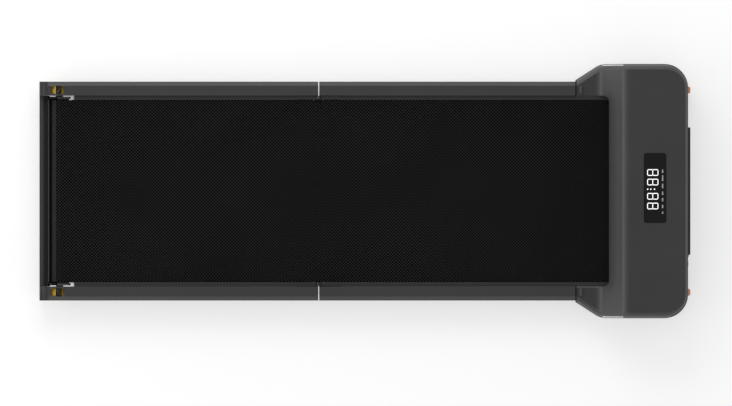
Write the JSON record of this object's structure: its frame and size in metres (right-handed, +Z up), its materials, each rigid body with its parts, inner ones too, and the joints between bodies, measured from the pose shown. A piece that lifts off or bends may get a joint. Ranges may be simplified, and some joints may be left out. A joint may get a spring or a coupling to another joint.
{
  "type": "walking pad",
  "caption": "Folding walking pad: low motor hood with display, flat foot rails and a textured belt on a deck hinged across the middle, with rollers, drive and wheels.",
  "frame": {"origin": "on the floor under the middle of the whole pad", "axes": "+X to the motor hood, +Y to the left of a walker who faces the hood, +Z up"},
  "size_m": [1.432, 0.5584, 0.129],
  "materials": {
    "charcoal_plastic": "fine grained charcoal moulding",
    "dark_plastic": "plain black moulding",
    "belt_rubber": "black belt with a raised diamond texture",
    "soft_rubber": "matt black rubber",
    "black_steel": "satin black powder coat",
    "bright_steel": "bright zinc and turned steel",
    "cast_alloy": "bare aluminium",
    "orange_plastic": "orange moulded wheel",
    "display_black": "polished black lens",
    "deck_board": "dark laminated board",
    "circuit_board": "green laminate",
    "switch_black": "black switch plastic"
  },
  "bodies": {
    "pad_front": {"hood_cover": "charcoal_plastic", "rail_cover_front_left": "charcoal_plastic", "rail_cover_front_right": "charcoal_plastic", "hood_base": "dark_plastic", "switch_housing": "dark_plastic", "reset_collar": "dark_plastic", "power_inlet": "dark_plastic", "belt_front": "belt_rubber", "belt_fold": "belt_rubber", "feet_front": "soft_rubber", "wing_bumpers": "soft_rubber", "front_strip": "soft_rubber", "deck_cushions_front": "soft_rubber", "drive_belt": "soft_rubber", "rail_tubes_front": "black_steel", "cross_members_front": "black_steel", "motor_bracket": "black_steel", "bearing_blocks": "black_steel", "hinge_leaves_front": "black_steel", "motor": "black_steel", "front_wheel_axles": "bright_steel", "hood_screws": "bright_steel", "deck_screws_front": "bright_steel", "heat_sink": "cast_alloy", "display_lens": "display_black", "deck_front": "deck_board", "display_board": "circuit_board", "controller_board": "circuit_board"},
    "pad_rear": {"rail_tubes_rear": "black_steel", "cross_members_rear": "black_steel", "deck_rear": "deck_board", "deck_cushions_rear": "soft_rubber", "deck_screws_rear": "bright_steel", "feet_rear": "soft_rubber", "rail_cover_rear_left": "charcoal_plastic", "rail_cover_rear_right": "charcoal_plastic", "window_bridges": "dark_plastic", "belt_rear": "belt_rubber", "rear_roller_shaft": "bright_steel", "roller_brackets": "bright_steel", "tail_bar": "charcoal_plastic", "end_caps": "charcoal_plastic", "rear_wheel_axles": "bright_steel", "hinge_leaves_rear": "black_steel", "hinge_pins": "bright_steel"},
    "drive_roller_set": {"drive_roller": "bright_steel", "drive_shaft": "bright_steel", "drive_pulley": "cast_alloy"},
    "rear_roller_set": {"rear_roller": "bright_steel", "rear_roller_bearings": "bright_steel"},
    "motor_rotor": {"motor_shaft": "bright_steel", "motor_pulley": "cast_alloy"},
    "wheel_front_left": {"front_wheel_left": "orange_plastic"},
    "wheel_front_right": {"front_wheel_right": "orange_plastic"},
    "wheel_rear_left": {"rear_wheel_left": "orange_plastic"},
    "wheel_rear_right": {"rear_wheel_right": "orange_plastic"},
    "rocker": {"power_rocker": "switch_black"},
    "reset": {"reset_button": "switch_black"},
    "bolt_left": {"tension_bolt_left": "bright_steel"},
    "bolt_right": {"tension_bolt_right": "bright_steel"}
  },
  "joints": [
    {"name": "fold", "type": "hinge", "parent": "pad_front", "child": "pad_rear", "pos_m": [-0.102, 0, 0.0604], "axis": [0, 1, 0], "range_deg": [0, 180], "deforming": ["belt_fold"]},
    {"name": "drive_roller_turn", "type": "hinge", "parent": "pad_front", "child": "drive_roller_set", "pos_m": [0.585, 0, 0.034], "axis": [0, 1, 0], "continuous": true},
    {"name": "rear_roller_turn", "type": "hinge", "parent": "pad_rear", "child": "rear_roller_set", "pos_m": [-0.672, 0, 0.034], "axis": [0, 1, 0], "continuous": true},
    {"name": "motor_turn", "type": "hinge", "parent": "pad_front", "child": "motor_rotor", "pos_m": [0.648, 0.247, 0.07], "axis": [0, 1, 0], "continuous": true},
    {"name": "wheel_front_left_turn", "type": "hinge", "parent": "pad_front", "child": "wheel_front_left", "pos_m": [0.694, 0.2225, 0.024], "axis": [0, 1, 0], "continuous": true},
    {"name": "wheel_front_right_turn", "type": "hinge", "parent": "pad_front", "child": "wheel_front_right", "pos_m": [0.694, -0.2225, 0.024], "axis": [0, 1, 0], "continuous": true},
    {"name": "wheel_rear_left_turn", "type": "hinge", "parent": "pad_rear", "child": "wheel_rear_left", "pos_m": [-0.6756, 0.2225, 0.024], "axis": [0, 1, 0], "continuous": true},
    {"name": "wheel_rear_right_turn", "type": "hinge", "parent": "pad_rear", "child": "wheel_rear_right", "pos_m": [-0.6756, -0.2225, 0.024], "axis": [0, 1, 0], "continuous": true},
    {"name": "rocker_tip", "type": "hinge", "parent": "pad_front", "child": "rocker", "pos_m": [0.706, -0.16, 0.025], "axis": [0, 1, 0], "range_deg": [-16, 0]},
    {"name": "reset_press", "type": "slide", "parent": "pad_front", "child": "reset", "axis": [-1, 0, 0], "range_m": [0, 0.0025], "stiffness_N_per_m": 600},
    {"name": "bolt_left_turn", "type": "hinge", "parent": "pad_rear", "child": "bolt_left", "pos_m": [-0.7, 0.204, 0.034], "axis": [1, 0, 0], "continuous": true},
    {"name": "bolt_right_turn", "type": "hinge", "parent": "pad_rear", "child": "bolt_right", "pos_m": [-0.7, -0.204, 0.034], "axis": [1, 0, 0], "continuous": true}
  ],
  "couplings": [
    {"joint": "rear_roller_turn", "follows": "drive_roller_turn", "ratio": 1},
    {"joint": "motor_turn", "follows": "drive_roller_turn", "ratio": 2.5}
  ]
}
